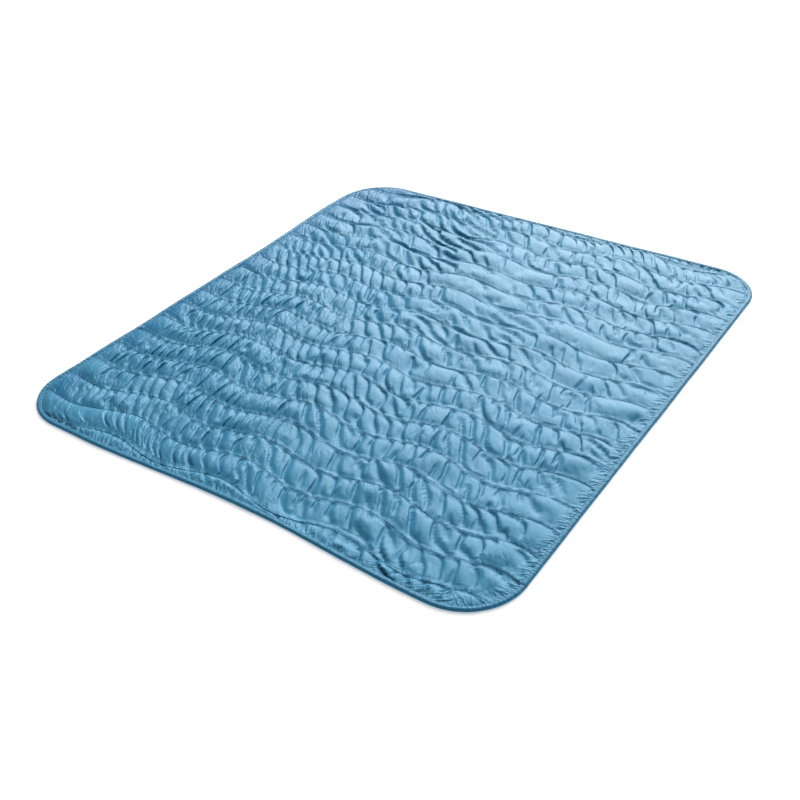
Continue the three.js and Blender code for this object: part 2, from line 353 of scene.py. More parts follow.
class Net:
    """Rows that follow the seams, squeezed together where a seam meets the rim, and columns across them.

    Each point has its place u, v on the cut cloth, its share of the way across its channel, its depth
    inside the rim, and its distance from the nearest seam.
    """

    def __init__(self, rows_per_channel, rim_rows, columns):
        part = np.arange(rows_per_channel) / rows_per_channel
        part = part - ROWS_CROWDED * np.sin(2 * np.pi * part)
        between = (np.arange(-LAST_SEAM, LAST_SEAM)[:, None] + part[None, :]).ravel()
        inner = np.append(between, LAST_SEAM)
        share = 1 - (1 - np.arange(1, rim_rows + 1) / rim_rows) ** RIM_ROWS_CROWDED
        outer = np.full(rim_rows, float(LAST_SEAM))
        self.rim_rows = rim_rows
        self.side = np.concatenate([-np.ones(rim_rows), np.zeros(len(inner)), np.ones(rim_rows)])
        self.share = np.concatenate([share[::-1], np.zeros(len(inner)), share])
        self.seam = np.concatenate([-outer, inner, outer])
        self.rows = len(self.side)
        ends = [self.row_end(side) for side in (-1, 1)]
        even = np.linspace(0, 1, columns + 1)[None, :]
        crowded = even - COLUMNS_CROWDED * np.sin(2 * np.pi * even)
        self.u = ends[0] + (ends[1] - ends[0]) * crowded
        self.v = self.row_v(self.u)
        line = self.seam + self.side * self.share
        self.across = (line - np.floor(line))[:, None] + 0 * self.u
        self.sewn = (self.side == 0) & (self.seam == np.round(self.seam))
        self.depth = depth_inside(FIELD, self.u, self.v)
        self.seam_gap = np.minimum(self.across, 1 - self.across) * SEAM_PITCH
        self.uv = np.stack([self.u, self.v], -1).reshape(-1, 2)

    def row_v(self, u):
        """The v of every row, with the rows kept apart where seams run into the rim."""
        index = np.arange(self.rows)[:, None]
        side, share, seam = self.side[:, None], self.share[:, None], self.seam[:, None]
        last = self.rows - 1
        own = np.where(side < 0, self.rim_rows, np.where(side > 0, last - self.rim_rows, index))
        farthest = FIELD["half_length"] - ROW_MIN_STEP * own
        nearest = -FIELD["half_length"] + ROW_MIN_STEP * (last - own)
        v = np.clip(cloth_v(u, seam_y(seam, u)), nearest, farthest)
        rim = -side * FIELD["half_length"]
        return np.where(side == 0, v, v + (rim - v) * share)

    def row_end(self, side):
        """Where each row meets the field's outline on one side, by halving the span."""
        inside = np.zeros((self.rows, 1))
        outside = np.full((self.rows, 1), FIELD["half_width"] + MM)
        for _ in range(HALVINGS):
            middle = (inside + outside) / 2
            is_in = depth_inside(FIELD, side * middle, self.row_v(side * middle)) > 0
            inside = np.where(is_in, middle, inside)
            outside = np.where(is_in, outside, middle)
        end = side * inside
        end[[0, -1]] = side * FIELD["centre_u"]
        return end


def value_noise(rng, a, b):
    """Smooth noise of about unit spread, at places counted in cells of the noise."""
    a, b = a - a.min(), b - b.min()
    lattice = rng.standard_normal((int(a.max()) + 3, int(b.max()) + 3))
    ia, ib = np.floor(a).astype(int), np.floor(b).astype(int)
    fa, fb = smooth_step(a - ia), smooth_step(b - ib)
    low = lattice[ia, ib] * (1 - fa) + lattice[ia + 1, ib] * fa
    high = lattice[ia, ib + 1] * (1 - fa) + lattice[ia + 1, ib + 1] * fa
    return (low * (1 - fb) + high * fb) / NOISE_SPREAD


def noise_on_cloth(rng, net, pattern):
    cell_u, cell_v, slant_u, slant_v = pattern
    return value_noise(rng, (net.u + slant_u * net.v) / cell_u, (net.v - slant_v * net.u) / cell_v)


def patch(u, v, at_u, at_v, reach_u, reach_v):
    """1 at a place on the cloth, fading out around it."""
    return np.exp(-(((u - at_u) / reach_u) ** 2) - ((v - at_v) / reach_v) ** 2)


def corner_calm(u, v):
    """How much of their strength the folds keep: less in the two left corners, all of it elsewhere."""
    calm = 1.0
    for taken_away, *where in CALM_CORNERS:
        calm = calm * (1 - taken_away * patch(u, v, *where))
    return calm


def fold_map(net, rng):
    """Which way the folds run, and how much longer the cloth is than the ground, square to them and along.

    The way is an angle from the blanket's length, leaning to the right towards the near edge.
    """
    u, v = net.u, net.v
    broad = noise_on_cloth(rng, net, BROAD_NOISE)
    middle = noise_on_cloth(rng, net, MIDDLE_NOISE)
    way = FOLD_WAY + FOLD_WAY_SPREAD * middle
    for degrees, *where in TURNED_FOLDS:
        way += degrees * patch(u, v, *where)
    right_margin = come_in(u, RIGHT_MARGIN)
    way = way * (1 - right_margin) + FOLD_WAY_AT_RIGHT_MARGIN * right_margin
    wander = PAST_LEFT_MARGIN["wander"] * np.clip(middle, -1, 1)
    left_margin = 1 - smooth_step((u - PAST_LEFT_MARGIN["start"] - wander) / PAST_LEFT_MARGIN["over"])
    left_half = 1 - come_in(u, PAST_LEFT_HALF)
    extra = EXTRA_CLOTH * np.clip(1 + EXTRA_SPREAD * (broad + middle), *EXTRA_LIMITS)
    extra *= 1 + EXTRA_ON_LEFT * left_half
    taken_away, *where = CALM_MIDDLE
    extra *= 1 - taken_away * patch(u, v, *where)
    extra *= (1 - LESS_AT_LEFT_MARGIN * left_margin) * (1 - LESS_AT_RIGHT_MARGIN * right_margin)
    across = np.abs(np.sin(np.pi * net.across)) ** ACROSS_CHANNEL_POWER
    extra *= KEPT_AT_SEAMS + (1 - KEPT_AT_SEAMS) * across
    extra *= KEPT_AT_RIM + (1 - KEPT_AT_RIM) * smooth_step(net.depth / FULL_CLOTH_DEPTH)
    extra *= corner_calm(u, v)
    return np.radians(way), extra, EXTRA_ALONG_FOLDS * (1 + EXTRA_ALONG_SPREAD * middle)


def with_coarseness(shares, coarse):
    on_left, added = shares
    return on_left + added * coarse


def random_factor(rng, spread):
    """A factor that is 1 in the middle of its spread."""
    return math.exp(spread * rng.standard_normal())


def random_pleat(rng, way, coarse):
    """One pleat's own shape: its lean, bend, width and depth, and where in its channel it starts and ends."""
    angle = way + math.radians(PLEAT_WAY_SPREAD) * rng.standard_normal()
    pleat = dict(
        lean=math.tan(np.clip(angle, *PLEAT_WAY_LIMITS)),
        bend=PLEAT_BEND * rng.standard_normal() * with_coarseness(BEND_SHARES, coarse),
        width=PLEAT_WIDTH * with_coarseness(WIDTH_SHARES, coarse) * random_factor(rng, PLEAT_WIDTH_SPREAD),
        depth=random_factor(rng, PLEAT_DEPTH_SPREAD) * with_coarseness(DEPTH_SHARES, coarse),
        top=0.0,
        foot=1.0,
    )
    kind = rng.random()
    if kind < SHORT_PLEATS:
        pleat["top"] = rng.uniform(*LATE_TOP)
    if kind > 1 - SHORT_PLEATS:
        pleat["foot"] = rng.uniform(*EARLY_FOOT)
    return pleat


def pleat_seeds(net, way, rng):
    """Valleys across the channels, from which the pleats grow: 0 on the cloth and about -1 in a valley."""
    seeds = np.zeros_like(net.u)
    line = net.seam + net.side * net.share
    for channel in range(-LAST_SEAM - 1, LAST_SEAM + 1):
        rows = np.where((line >= channel) & (line <= channel + 1))[0]
        part = slice(rows[0], rows[-1] + 1)
        u = net.u[part]
        share = (line[part] - channel)[:, None] + 0 * u
        middle = len(rows) // 2
        far = come_in(net.v[part][middle].mean(), FAR_FOLDS)
        left_gap = PLEAT_GAP_LEFT + (PLEAT_GAP_FAR_LEFT - PLEAT_GAP_LEFT) * far
        deepest = seeds[part]
        at = -BLANKET_WIDTH / 2
        while at < BLANKET_WIDTH / 2:
            coarse = come_in(at, COARSE_FOLDS)
            gap = left_gap + (PLEAT_GAP_RIGHT - left_gap) * coarse
            at += gap * np.clip(np.exp(PLEAT_GAP_SPREAD * rng.standard_normal()), *PLEAT_GAP_LIMITS)
            pleat = random_pleat(rng, np.interp(at, u[middle], way[part][middle]), coarse)
            lean = pleat["lean"]
            line_u = at + lean * (share - 0.5) * SEAM_PITCH + pleat["bend"] * np.sin(2 * np.pi * share)
            off = (u - line_u) / math.hypot(1, lean)
            starts = smooth_step((share - pleat["top"]) / PLEAT_FADE)
            ends = smooth_step((pleat["foot"] - share) / PLEAT_FADE)
            valley = -pleat["depth"] * (starts * ends) * np.exp(-((off / pleat["width"]) ** 2))
            deepest = np.minimum(deepest, valley)
        seeds[part] = deepest
    return seeds


def links_between(ground, free, way, extra, along):
    """Every pair of neighbours on a net, with its length on the ground, and how much longer its cloth is.

    They come in groups in which no point is in two pairs, so that a group is set right at once.
    """
    rows, columns = free.shape
    links = []

    def link(first, second, stiffness):
        gap = ground[second] - ground[first]
        length = np.linalg.norm(gap, axis=-1)
        step_x, step_y = gap[..., 0] / length, gap[..., 1] / length
        square = step_x * np.cos(way[first]) + step_y * np.sin(way[first])
        lengthwise = step_x * np.sin(way[first]) - step_y * np.cos(way[first])
        longer = extra[first] * square**2 + along[first] * lengthwise**2
        both = np.maximum(free[first] + free[second], TINY)
        pull_first = (stiffness * free[first] / both)[..., None]
        pull_second = (stiffness * free[second] / both)[..., None]
        links.append((first, second, length, longer.astype(np.float32), pull_first, pull_second))

    every, left, right = slice(None), slice(0, columns - 1), slice(1, columns)
    for odd in (0, 1):
        link((every, slice(odd, columns - 1, 2)), (every, slice(odd + 1, columns, 2)), 1.0)

    # From each row to the next one: straight down, and along both diagonals
    down_the_net = ((every, every, 1.0), (left, right, DIAGONAL_STIFFNESS), (right, left, DIAGONAL_STIFFNESS))
    for from_columns, to_columns, stiffness in down_the_net:
        for odd in (0, 1):
            upper, lower = slice(odd, rows - 1, 2), slice(odd + 1, rows, 2)
            link((upper, from_columns), (lower, to_columns), stiffness)
    return links


def off_middle(shift, weight):
    """How far each point is off the middle of its neighbours, the weight being the share of its row."""
    off = np.zeros_like(shift)
    off[:, 1:-1] += weight * (0.5 * (shift[:, 2:] + shift[:, :-2]) - shift[:, 1:-1])
    off[1:-1] += (1 - weight) * (0.5 * (shift[2:] + shift[:-2]) - shift[1:-1])
    return off


def settle(points, ground, target, free, links, stage, first_share):
    """Sets lengths right, unbends, and pushes the cloth up to its wadding, over and over.

    A bend counts in full up to the stage's crease and hardly more past it, as satin creases.
    """
    steps = stage["steps"]
    weight = stage["row_share"]
    lowest = LOWEST_SHARE * target
    for count in range(steps):
        grown = first_share + (1 - first_share) * min(1.0, (count + 1) / (FULL_LENGTH_AT * steps))
        for first, second, length, longer, pull_first, pull_second in links:
            at_first, at_second = points[first], points[second]
            gap = at_second - at_first
            now = np.maximum(np.sqrt(np.einsum("...i,...i->...", gap, gap)), TINY)
            change = ((now - length * (1 + grown * longer)) / now)[..., None] * gap
            points[first] = at_first + change * pull_first
            points[second] = at_second - change * pull_second
        off = off_middle(points - ground, weight)
        bend = np.sqrt(stage["crease"] ** 2 + np.einsum("...i,...i->...", off, off))
        eased = off * (stage["crease"] / bend)[..., None]
        points -= off_middle(eased, weight) * (stage["bending"] * free)[..., None]
        gap = target - points[..., 2]
        points[..., 2] += free * np.where(gap < 0, stage["ceiling"], WADDING_PUSH) * gap
        points[..., 2] = np.maximum(points[..., 2], lowest)
    return points


def twice_the_columns(shift):
    """The same shifts on a net with a column more between every two."""
    finer = np.empty((shift.shape[0], 2 * shift.shape[1] - 1, 3), np.float32)
    finer[:, ::2] = shift
    finer[:, 1::2] = 0.5 * (shift[:, 1:] + shift[:, :-1])
    return finer


def running_mean(values, reach):
    """Each row's values averaged over so many columns either way, three times over."""
    for _ in range(3):
        padded = np.pad(values, ((0, 0), (reach + 1, reach)), mode="edge")
        total = np.cumsum(padded, axis=1)
        values = (total[:, 2 * reach + 1:] - total[:, :-2 * reach - 1]) / (2 * reach + 1)
    return values


def crisp_folds(height):
    """The same heights with broad flat tops, and with narrow and deeper valleys between them."""
    mean = running_mean(height, FOLD_REACH)
    off = height - mean
    spread = np.sqrt(running_mean(off**2, FOLD_REACH))
    over = off + VALLEY_LEVEL * spread
    crisp = mean - VALLEY_LEVEL * spread + np.where(over > 0, KEPT_ON_TOP, KEPT_BELOW) * over
    eased_from = LOWEST_VALLEY + VALLEY_EASE
    eased = LOWEST_VALLEY + VALLEY_EASE * np.exp(np.minimum(crisp - eased_from, 0) / VALLEY_EASE)
    return np.where(crisp < eased_from, eased, crisp)


def lean_folds(points, way, lean):
    """Pushes the valleys to one side, so that each fold has a steep flank and a gentle one."""
    off = lean * (points[..., 2] - running_mean(points[..., 2], FOLD_REACH))
    points[..., 0] += off * np.cos(way)
    points[..., 1] += off * np.sin(way)


def finish_folds(points, net, way, free, rng):
    """Makes the folds crisp, gives each a steep flank, and keeps the cloth under the tape at the rim."""
    clear_of_tape = smooth_step((net.depth - TAPE_COVER) / CLEAR_OF_TAPE)
    strength = free * clear_of_tape * corner_calm(net.u, net.v)
    points[..., 2] += strength * (crisp_folds(points[..., 2]) - points[..., 2])
    lean = FOLD_LEAN * np.tanh(LEAN_SHARPNESS * noise_on_cloth(rng, net, LEAN_NOISE)) * strength
    lean_folds(points, way, lean)
    below_tape = RIM_HEIGHT + SLOPE_FROM_TAPE * np.maximum(net.depth - TAPE_COVER, 0)
    points[..., 2] = np.clip(points[..., 2], LOWEST_VALLEY, below_tape)


def resting_heights(net, rng):
    """How high the cloth lies on its wadding, and how far a point is up its channel and clear of the rim."""
    crown = np.abs(np.sin(np.pi * net.across)) ** CHANNEL_ROUNDNESS
    taper = smooth_step(net.depth / RIM_RISE)
    lumps = noise_on_cloth(rng, net, LUMP_NOISE)
    lumps += SMALL_LUMP_SHARE * noise_on_cloth(rng, net, SMALL_LUMP_NOISE)
    crest = CHANNEL_CREST - CREST_DROP_RIGHT * come_in(net.u, LOWER_CRESTS)
    height = RIM_HEIGHT + (SEAM_HEIGHT + (crest - SEAM_HEIGHT) * crown - RIM_HEIGHT) * taper
    height += LUMP_HEIGHT * lumps * crown * taper
    return height, crown, taper


def settled_face():
    """The face cloth: pinned along the seams, longer than the ground below it, and settled on its wadding."""
    net = Net(**FACE_NET)
    u, v = net.u, net.v
    rng = np.random.default_rng(CLOTH_SEED)
    height, crown, taper = resting_heights(net, rng)
    way, extra, along = fold_map(net, rng)

    x, y = place(u, v)
    ground = np.stack([x, y, 0 * x], -1).astype(np.float32)
    pinned = np.stack([x, y, height], -1).astype(np.float32)
    free = np.ones(u.shape, np.float32)
    free[net.sewn] = 0
    free[[0, -1]] = 0
    free[:, [0, -1]] = 0

    seeds = PLEAT_DEPTH * pleat_seeds(net, way, rng) * taper * corner_calm(u, v)
    ripples = noise_on_cloth(rng, net, RIPPLE_NOISE) * crown * taper
    shift, share = None, 0.0
    for stage in STAGES:
        part = (slice(None), slice(None, None, stage["column_step"]))
        if shift is None:
            points = pinned[part].copy()
            points[..., 2] += seeds[part]
        else:
            points = ground[part] + twice_the_columns(shift)
        points[..., 2] += RIPPLE_HEIGHT * ripples[part]
        points = np.where(free[part][..., None] > 0, points, pinned[part])
        links = links_between(ground[part], free[part], way[part], extra[part], along[part])
        points = settle(points, ground[part], pinned[part][..., 2], free[part], links, stage, share)
        shift, share = points - ground[part], SECOND_STAGE_LENGTH
    finish_folds(points, net, way, free, rng)
    return net, points


# Turning nets of points into meshes

def mesh_object(name, vertices, faces, uv=None, values=None):
    """A smooth mesh from arrays: corners, quads, the cloth's own u and v, and named values at the corners."""
    mesh = bpy.data.meshes.new(name)
    mesh.vertices.add(len(vertices))
    mesh.vertices.foreach_set("co", vertices.astype(np.float32).ravel())
    mesh.loops.add(faces.size)
    mesh.loops.foreach_set("vertex_index", faces.astype(np.int32).ravel())
    mesh.polygons.add(len(faces))
    mesh.polygons.foreach_set("loop_start", (np.arange(len(faces)) * faces.shape[1]).astype(np.int32))
    mesh.update(calc_edges=True)
    mesh.polygons.foreach_set("use_smooth", np.ones(len(faces), bool))
    if uv is not None:
        layer = mesh.uv_layers.new(name="cloth")
        layer.data.foreach_set("uv", uv[faces.ravel()].astype(np.float32).ravel())
    for key, data in (values or {}).items():
        attribute = mesh.attributes.new(key, "FLOAT", "POINT")
        attribute.data.foreach_set("value", data.astype(np.float32).ravel())
    mesh.validate()
    piece = bpy.data.objects.new(name, mesh)
    bpy.context.scene.collection.objects.link(piece)
    return piece


def net_faces(rows, columns, facing_up=True):
    """Quads of a net of rows by columns points. Rows run towards -Y and columns towards +X."""
    corner = (np.arange(rows - 1)[:, None] * columns + np.arange(columns - 1)[None, :]).ravel()
    order = [corner + columns, corner + columns + 1, corner + 1, corner]
    return np.stack(order if facing_up else order[::-1], -1)


def ring_faces(stations, corners):
    """Quads of a closed tube: a section of so many corners at each station round a ring."""
    station = np.arange(stations)[:, None]
    corner = np.arange(corners)[None, :]
    following = (station + 1) % stations
    around = (corner + 1) % corners
    quads = [station * corners + corner, following * corners + corner]
    quads += [following * corners + around, station * corners + around]
    return np.stack([q + 0 * corner + 0 * station for q in quads], -1).reshape(-1, 4)


def rim_position(net):
    """How far round the rim the nearest point of it is, for points that are near the rim."""
    stations, _ = outline_stations(FIELD, RIM_STATION)
    position = np.zeros(net.u.shape)
    for at in zip(*np.where(net.depth < RIM_GATHER_REACH + RIM_GATHER_SPARE)):
        off = stations - (net.u[at], net.v[at])
        position[at] = RIM_STATION * np.argmin((off**2).sum(axis=1))
    return position


def face_cloth():
    """The puckered face, with how far each point is from a seam and from the rim."""
    net, points = settled_face()
    values = {"seam_gap": net.seam_gap, "rim_gap": net.depth, "rim_position": rim_position(net)}
    return mesh_object("quilt_face", points.reshape(-1, 3), net_faces(*net.u.shape), net.uv, values)


def back_cloth():
    """The plain cloth underneath: flat on the ground, and drawn up a little at each seam and at the rim."""
    net = Net(**BACK_NET)
    lift = BACK_SEAM_LIFT * np.exp(-((net.seam_gap / BACK_SEAM_REACH) ** 2))
    rise = BACK_RIM_LIFT * (1 - smooth_step(net.depth / BACK_RIM_REACH))
    x, y = place(net.u, net.v)
    height = np.maximum(lift * smooth_step(net.depth / RIM_RISE), rise)
    points = np.stack([x, y, height], -1).reshape(-1, 3)
    return mesh_object("quilt_back", points, net_faces(*net.u.shape, facing_up=False), net.uv)


def tape_unevenness(rng, count):
    """Short gathers round the tape, and a slow wander of unit spread."""
    gather = rng.standard_normal(count)
    gather = 0.5 * gather + 0.25 * (np.roll(gather, 1) + np.roll(gather, -1))
    rounds = np.concatenate([rng.standard_normal(count)] * 3)
    window = np.ones(TAPE_WANDER_STATIONS) / TAPE_WANDER_STATIONS
    wander = np.convolve(rounds, window, "same")[count:2 * count]
    return gather, wander / wander.std()


def binding():
    """The tape: folded round the rim, sewn down near its inner edge, and a little gathered by the sewing."""
    stations, normals = outline_stations(rounded_outline(0), TAPE_STATION)
    count = len(stations)
    gather, wander = tape_unevenness(np.random.default_rng(TAPE_SEED), count)
    section = np.array(TAPE_SECTION) * MM
    girth = np.concatenate([[0], np.cumsum(np.linalg.norm(np.diff(section, axis=0), axis=1))])
    along = np.arange(count) * TAPE_STATION
    vertices, uv = [], []
    for (offset, height), round_section in zip(section, girth):
        on_top = come_in(height, TAPE_TOP)
        inside = smooth_step((-offset - TAPE_INNER_PART) / TAPE_INNER_PART)
        rough = gather * on_top * (TAPE_ROUGH + TAPE_ROUGH_INSIDE * inside)
        sideways = wander * TAPE_WANDER * (1 if offset > -TAPE_INNER_PART else TAPE_WANDER_INSIDE)
        place_uv = stations + normals * (offset - TAPE_INSET + sideways)[:, None]
        x, y = place(place_uv[:, 0], place_uv[:, 1])
        z = np.maximum(height + rough + on_top * wander * TAPE_SWELL, 0.0)
        vertices.append(np.stack([x, y, z], -1))
        uv.append(np.stack([along, np.full(count, round_section)], -1))
    vertices = np.stack(vertices, 1).reshape(-1, 3)
    uv = np.stack(uv, 1).reshape(-1, 2)
    return mesh_object("binding_tape", vertices, ring_faces(count, len(section)), uv)


# Materials

# Each cloth's dye, between two blues, and the shine and the weave of the satin
FACE_BLUES = ((0.078, 0.355, 0.585), (0.093, 0.395, 0.645))
BACK_BLUES = ((0.10, 0.30, 0.50), (0.13, 0.34, 0.54))
TAPE_BLUES = ((0.055, 0.29, 0.49), (0.065, 0.32, 0.54))
TONE_SCALE = 3.0
TONE_LIMITS = (0.3, 0.7)
ROUGHNESS = 0.34
GLOSS = 0.25
SHEEN_COLOUR = (0.45, 0.82, 1.0, 1)
WEAVE_SCALE = (900.0, 700.0, 1.0)
WEAVE_HEIGHT = 0.03 * MM

# Small wrinkles: width and length of a ridge, the way it lies in degrees, and its height
FACET_TOP = 0.2
FINE_FACETS = (8 * MM, 34 * MM, 28)
FINE_FACET_HEIGHT = 1.8 * MM
COARSE_FACETS = (13 * MM, 48 * MM, 30)
COARSE_FACET_HEIGHT = 1.4 * MM
COARSE_FACETS_COME_IN = (-0.3, 0.2)
WRINKLE_STRENGTH_SCALE = 11.0
WRINKLE_NOISE_LIMITS = (0.35, 0.65)
WRINKLE_STRENGTHS = (0.35, 1.25)
WARP = 20 * MM
WARP_SCALE = 40.0

# Painted shade: the colour is made darker in smooth places along the left edge and in the far left corner,
# for the shade that lies on the cloth there
LEFT_EDGE_SHADE_TINT = (0.4, 0.7, 0.86, 1)
LEFT_EDGE_FADES = (-0.63, -0.55)
SMOOTH_PLACE_SCALE = 7.0
SMOOTH_PLACES = (0.4, 0.55)
FAR_LEFT_COMES_IN = (0.9, 1.2)
FAR_LEFT_SHADE = 0.9

# The seams: their dark line, which is the thread's colour together with painted shade of the stitched groove,
# the groove, and the short gathers beside them
SEAM_THREAD_AND_SHADE_TINT = (0.35, 0.55, 0.68, 1)
SEAM_LINE_WIDTH = 2.8 * MM
SEAM_LINE_SHADE = 0.8
GROOVE_WIDTH = 2 * MM
GROOVE_DEPTH = 0.9 * MM
SEAM_GATHER = (4.2 * MM, 16 * MM)
SEAM_GATHER_TURN = 0.2
SEAM_GATHER_REACH = 10 * MM
SEAM_GATHER_HEIGHT = 3 * MM

# Gathers along the rim, weaker at the left edge, and those of the tape
RIM_GATHER = 8 * MM
RIM_GATHER_LENGTH = 30 * MM
RIM_GATHER_SLANT = 0.5
RIM_GATHER_HEIGHT = 8 * MM
RIM_GATHER_COMES_IN = (-0.62, -0.55)
RIM_GATHER_AT_LEFT = 0.3
TAPE_GATHER_SCALE = (1 / (5 * MM), 40.0, 1.0)
TAPE_GATHER_HEIGHT = 2 * MM

FLOOR_COLOUR = (0.95, 0.95, 0.95, 1)
FLOOR_ROUGHNESS = 0.9
FLOOR_GLOW_COLOUR = (1, 1, 1, 1)
FLOOR_GLOW = 0.45


class Nodes:
    """A short way to write node trees: each call adds one node or two, sets their inputs and links them."""

    def __init__(self, name):
        self.material = bpy.data.materials.new(name)
        self.material.use_nodes = True
        self.tree = self.material.node_tree
        self.tree.nodes.clear()

    def add(self, kind, inputs=None, **settings):
        node = self.tree.nodes.new(kind)
        for key, value in settings.items():
            setattr(node, key, value)
        for key, value in (inputs or {}).items():
            if isinstance(value, bpy.types.NodeSocket):
                self.tree.links.new(value, node.inputs[key])
            else:
                node.inputs[key].default_value = value
        return node

    def math(self, operation, a, b=0.0, clamp=False):
        return self.add("ShaderNodeMath", {0: a, 1: b}, operation=operation, use_clamp=clamp).outputs[0]

    def vector(self, operation, a, b, c=(0, 0, 0)):
        return self.add("ShaderNodeVectorMath", {0: a, 1: b, 2: c}, operation=operation).outputs[0]

    def attribute(self, name):
        return self.add("ShaderNodeAttribute", attribute_name=name).outputs["Fac"]

    def noise(self, at, scale=1.0, detail=1.0, output="Fac"):
        inputs = {"Vector": at, "Scale": scale, "Detail": detail}
        return self.add("ShaderNodeTexNoise", inputs).outputs[output]

    def scaled(self, at, scale):
        return self.add("ShaderNodeMapping", {"Vector": at, "Scale": scale}).outputs[0]

    def in_cells(self, at, width, length, turn):
        """A place counted in cells of a pattern that is stretched and turned."""
        inputs = {"Vector": at, "Rotation": (0, 0, turn), "Scale": (width, length, 1.0)}
        return self.add("ShaderNodeMapping", inputs, vector_type="TEXTURE").outputs[0]

    def fade(self, value, limits, low=0.0, high=1.0):
        """The low value up to the first limit, the high one from the second, and a straight way between."""
        inputs = {"Value": value, "From Min": limits[0], "From Max": limits[1], "To Min": low, "To Max": high}
        return self.add("ShaderNodeMapRange", inputs, clamp=True).outputs[0]

    def near(self, distance, reach):
        """1 at no distance, down to 0 at the reach."""
        return self.math("SUBTRACT", 1.0, self.math("DIVIDE", distance, reach), clamp=True)

    def raised(self, height, pattern, by):
        return self.math("ADD", height, self.math("MULTIPLY", pattern, by))

    def tinted(self, colour, tint, share):
        inputs = {0: share, 6: colour, 7: tint}
        return self.add("ShaderNodeMix", inputs, data_type="RGBA", blend_type="MULTIPLY").outputs[2]

    def finish(self, shader):
        self.add("ShaderNodeOutputMaterial", {"Surface": shader})
        return self.material


def cloth_tone(n, cloth_uv, blues):
    """The dye, between a deeper and a lighter blue."""
    ramp = n.add("ShaderNodeValToRGB", {"Fac": n.noise(cloth_uv, TONE_SCALE, detail=3.0)})
    for element, position, blue in zip(ramp.color_ramp.elements, TONE_LIMITS, blues):
        element.position = position
        element.color = (*blue, 1)
    return ramp.outputs[0]


def facets(n, at, width, length, degrees):
    """Long flat-topped ridges along the folds, with sharp valleys between them: 0 on top, down to -0.5."""
    cells = n.in_cells(at, width, length, math.radians(degrees))
    inputs = {"Vector": cells, "Scale": 1.0}
    voronoi = n.add("ShaderNodeTexVoronoi", inputs, voronoi_dimensions="2D", feature="F1")
    past_top = n.math("MAXIMUM", n.math("SUBTRACT", voronoi.outputs["Distance"], FACET_TOP), 0.0)
    return n.math("SUBTRACT", 0.0, past_top)


def wrinkles(n, cloth_uv, bent, u):
    """Small wrinkles, fine on the left and coarser on the right, and calmer in places."""
    fine = n.math("MULTIPLY", facets(n, bent, *FINE_FACETS), FINE_FACET_HEIGHT)
    coarse = n.math("MULTIPLY", facets(n, bent, *COARSE_FACETS), COARSE_FACET_HEIGHT)
    ridges = n.add("ShaderNodeMix", {0: n.fade(u, COARSE_FACETS_COME_IN), 2: fine, 3: coarse}).outputs[0]
    strength = n.noise(cloth_uv, WRINKLE_STRENGTH_SCALE, detail=1.0)
    strength = n.fade(strength, WRINKLE_NOISE_LIMITS, *WRINKLE_STRENGTHS)
    return n.math("MULTIPLY", ridges, strength)


def painted_left_shade(n, cloth_uv, u, v):
    """Painted shade: how much darker the colour is made in smooth places along the left edge, and in the far
    left corner.
    """
    margin = n.fade(u, LEFT_EDGE_FADES, 1.0, 0.0)
    smooth_places = n.fade(n.noise(cloth_uv, SMOOTH_PLACE_SCALE, detail=0.0), SMOOTH_PLACES)
    far_left = n.fade(n.math("SUBTRACT", v, u), FAR_LEFT_COMES_IN, 0.0, FAR_LEFT_SHADE)
    return n.math("MAXIMUM", n.math("MULTIPLY", margin, smooth_places), far_left)


def rim_gathers(n, u):
    """Short gathers that run in from the rim, a little slanted, and weaker at the left edge."""
    rim_gap = n.attribute("rim_gap")
    slanted = n.math("ADD", n.attribute("rim_position"), n.math("MULTIPLY", rim_gap, RIM_GATHER_SLANT))
    cells = n.add("ShaderNodeCombineXYZ", {
        "X": n.math("DIVIDE", slanted, RIM_GATHER),
        "Y": n.math("DIVIDE", rim_gap, RIM_GATHER_LENGTH),
    }).outputs[0]
    gathers = n.math("MULTIPLY", n.noise(cells), n.near(rim_gap, RIM_GATHER_REACH))
    return n.math("MULTIPLY", gathers, n.fade(u, RIM_GATHER_COMES_IN, RIM_GATHER_AT_LEFT))


def quilted(n, cloth_uv, colour, height):
    """The puckered face: wrinkles, painted shade by the left edge, dark seam lines in grooves that are partly
    the thread and partly painted groove shade, and gathers beside the seams and the rim.
    """
    u, v = n.add("ShaderNodeSeparateXYZ", {0: cloth_uv}).outputs[:2]
    drift = n.noise(cloth_uv, WARP_SCALE, detail=1.0, output="Color")
    drift = n.vector("MULTIPLY_ADD", drift, (WARP, WARP, 0), (-WARP / 2, -WARP / 2, 0))
    bent = n.vector("ADD", cloth_uv, drift)
    height = n.math("ADD", height, wrinkles(n, cloth_uv, bent, u))
    # Painted shade along the left edge and in the far left corner, multiplied into the colour
    colour = n.tinted(colour, LEFT_EDGE_SHADE_TINT, painted_left_shade(n, cloth_uv, u, v))

    seam_gap = n.attribute("seam_gap")
    # The dark seam line: the thread's colour and painted shade of the stitched groove, multiplied into the
    # colour
    close = n.math("DIVIDE", seam_gap, SEAM_LINE_WIDTH)
    line = n.math("SUBTRACT", 1.0, n.math("MULTIPLY", close, close), clamp=True)
    colour = n.tinted(colour, SEAM_THREAD_AND_SHADE_TINT, n.math("MULTIPLY", line, SEAM_LINE_SHADE))
    groove = n.near(seam_gap, GROOVE_WIDTH)
    groove = n.math("MULTIPLY", groove, groove)
    height = n.math("SUBTRACT", height, n.math("MULTIPLY", groove, GROOVE_DEPTH))
    gathers = n.noise(n.in_cells(bent, *SEAM_GATHER, SEAM_GATHER_TURN))
    gathers = n.math("MULTIPLY", gathers, n.near(seam_gap, SEAM_GATHER_REACH))
    height = n.raised(height, gathers, SEAM_GATHER_HEIGHT)
    return colour, n.raised(height, rim_gathers(n, u), RIM_GATHER_HEIGHT)


def gathered_tape(n, cloth_uv, colour, height):
    """Short gathers across the tape."""
    gathers = n.noise(n.scaled(cloth_uv, TAPE_GATHER_SCALE))
    return colour, n.raised(height, gathers, TAPE_GATHER_HEIGHT)


